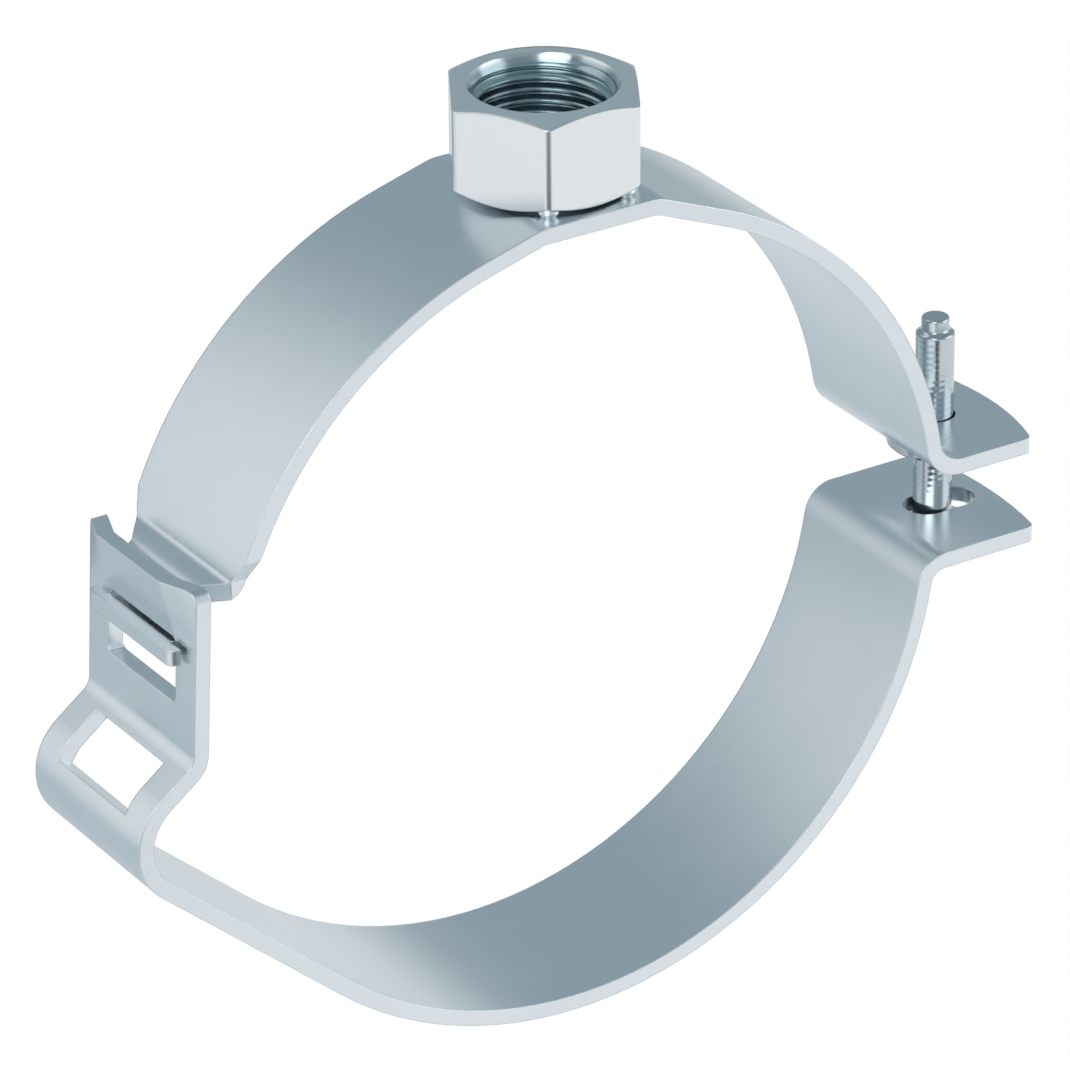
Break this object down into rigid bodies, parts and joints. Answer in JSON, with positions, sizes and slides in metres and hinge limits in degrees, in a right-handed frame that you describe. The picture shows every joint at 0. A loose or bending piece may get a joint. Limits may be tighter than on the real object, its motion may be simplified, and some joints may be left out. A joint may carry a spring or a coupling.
{
  "type": "hinged pipe bracket",
  "caption": "Hinged steel pipe clamp: a hooked latch on one side, a clamp screw through the flanges on the other, and a welded nut on top for a threaded pipe or rod.",
  "frame": {"origin": "centre of the lower band's round cradle, on the pipe axis and in the bracket's middle plane", "axes": "+Y along the pipe, +X towards the clamp screw, +Z towards the connection nut"},
  "size_m": [0.1591, 0.0304, 0.145],
  "materials": {
    "zinc_strip": "zinc plated, satin",
    "zinc_nut": "zinc plated, bright",
    "zinc_fastener": "zinc plated, bright"
  },
  "bodies": {
    "upper": {"upper_band": "zinc_strip", "connection_nut": "zinc_nut", "flange_nut": "zinc_fastener"},
    "lower": {"lower_band": "zinc_strip"},
    "washer": {"screw_washer": "zinc_fastener"},
    "screw": {"clamp_screw": "zinc_fastener"}
  },
  "joints": [
    {"name": "clamp_hinge", "type": "hinge", "parent": "upper", "child": "lower", "pos_m": [-0.0635, 0, 0.0144], "axis": [0, -1, 0], "range_deg": [-3.05, 3.85]},
    {"name": "screw_travel", "type": "slide", "parent": "upper", "child": "washer", "axis": [0, 0, 1], "range_m": [-0.0075, 0.0095]},
    {"name": "screw_spin", "type": "hinge", "parent": "washer", "child": "screw", "pos_m": [0.0741, 0, 0], "axis": [0, 0, 1], "range_deg": [-2700, 3400]}
  ],
  "couplings": [
    {"joint": "screw_travel", "follows": "clamp_hinge", "m_per_rad": 0.1376},
    {"joint": "screw_spin", "follows": "clamp_hinge", "ratio": 864.57}
  ]
}
